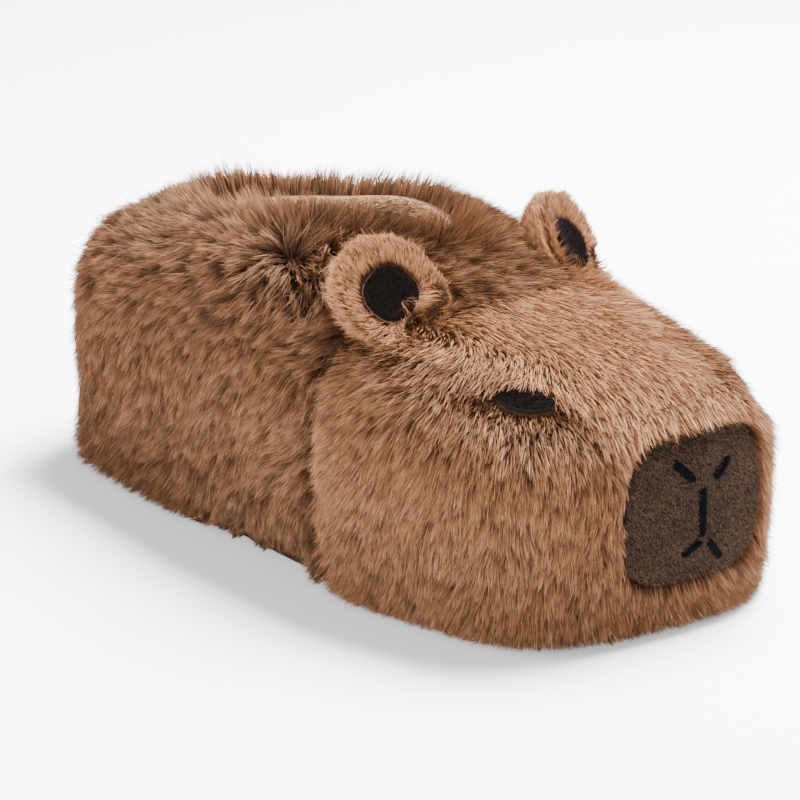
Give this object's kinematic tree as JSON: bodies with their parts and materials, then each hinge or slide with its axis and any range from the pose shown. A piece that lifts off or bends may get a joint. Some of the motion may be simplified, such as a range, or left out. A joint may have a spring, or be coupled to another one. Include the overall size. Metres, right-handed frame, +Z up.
{
  "type": "house slipper",
  "caption": "Closed plush slipper for a right foot, padded and furry, with an animal's head and ears over the toes.",
  "frame": {"origin": "centre of the sole's flat underside", "axes": "+X to the toe, +Y to the wearer's left (the big toe's side), +Z up"},
  "size_m": [0.2855, 0.1448, 0.1197],
  "materials": {
    "fur": "long soft pile",
    "sole_textile": "matt textile",
    "fleece": "short soft nap",
    "dark_fur": "short dense pile",
    "felt": "matt short pile",
    "thread": "satin-stitched thread"
  },
  "bodies": {
    "root": {"outsole": "sole_textile", "upper": "fur", "insole": "fleece", "nose": "dark_fur", "nostril_left": "thread", "nostril_right": "thread", "philtrum": "thread", "mouth_left": "thread", "mouth_right": "thread", "eye_left": "felt", "ear_left": "fur", "inner_ear_left": "felt", "eye_right": "felt", "ear_right": "fur", "inner_ear_right": "felt"}
  },
  "joints": []
}
